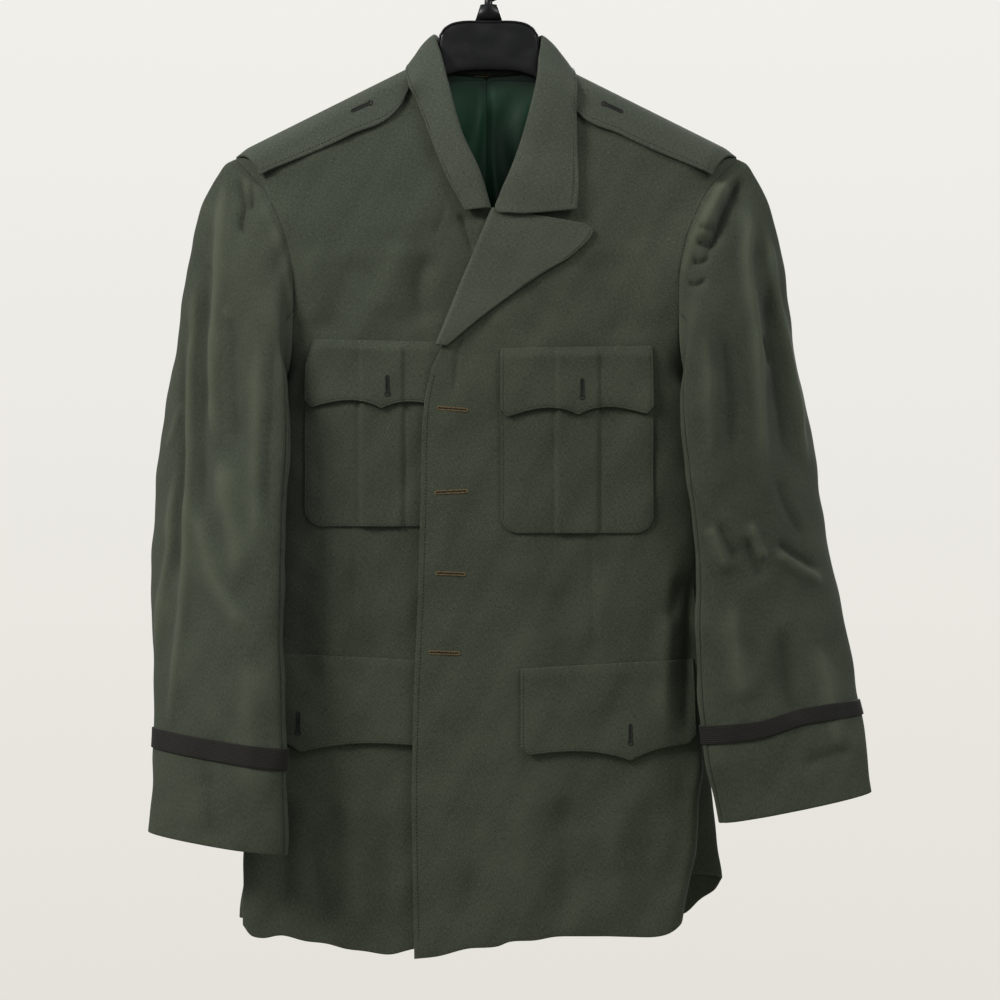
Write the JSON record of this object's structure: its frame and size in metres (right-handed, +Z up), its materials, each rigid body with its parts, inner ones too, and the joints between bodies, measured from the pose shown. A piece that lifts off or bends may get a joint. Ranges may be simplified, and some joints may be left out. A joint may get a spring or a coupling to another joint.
{
  "type": "military coat on a hanger",
  "caption": "Dark green wool uniform coat with turned-out lapel, patch pockets and shoulder straps, hanging on a black moulded plastic hanger.",
  "frame": {"origin": "the inside of the hook at its highest point, where it rests on a rail", "axes": "+Z up, the coat's front faces -Y, +X to the wearer's left"},
  "size_m": [0.6538, 0.1628, 0.922],
  "materials": {
    "serge_cloth": "matt twill wool",
    "satin_lining": "satin",
    "cuff_braid": "ribbed braid",
    "woven_tab": "woven, bare",
    "black_plastic": "satin moulded"
  },
  "bodies": {
    "root": {"right_front": "serge_cloth", "left_front": "serge_cloth", "back_right": "serge_cloth", "back_left": "serge_cloth", "top_sleeve_right": "serge_cloth", "under_sleeve_right": "serge_cloth", "top_sleeve_left": "serge_cloth", "under_sleeve_left": "serge_cloth", "collar": "serge_cloth", "left_lapel": "serge_cloth", "shoulder_strap_right": "serge_cloth", "shoulder_strap_left": "serge_cloth", "breast_pocket_right": "serge_cloth", "breast_pocket_left": "serge_cloth", "breast_flap_right": "serge_cloth", "breast_flap_left": "serge_cloth", "lower_flap_right": "serge_cloth", "lower_flap_left": "serge_cloth", "cuff_braid_right": "cuff_braid", "cuff_braid_left": "cuff_braid", "back_lining_right": "satin_lining", "back_lining_left": "satin_lining", "neck_label": "woven_tab", "hanger_body": "black_plastic", "hanger_hook": "black_plastic"}
  },
  "joints": []
}
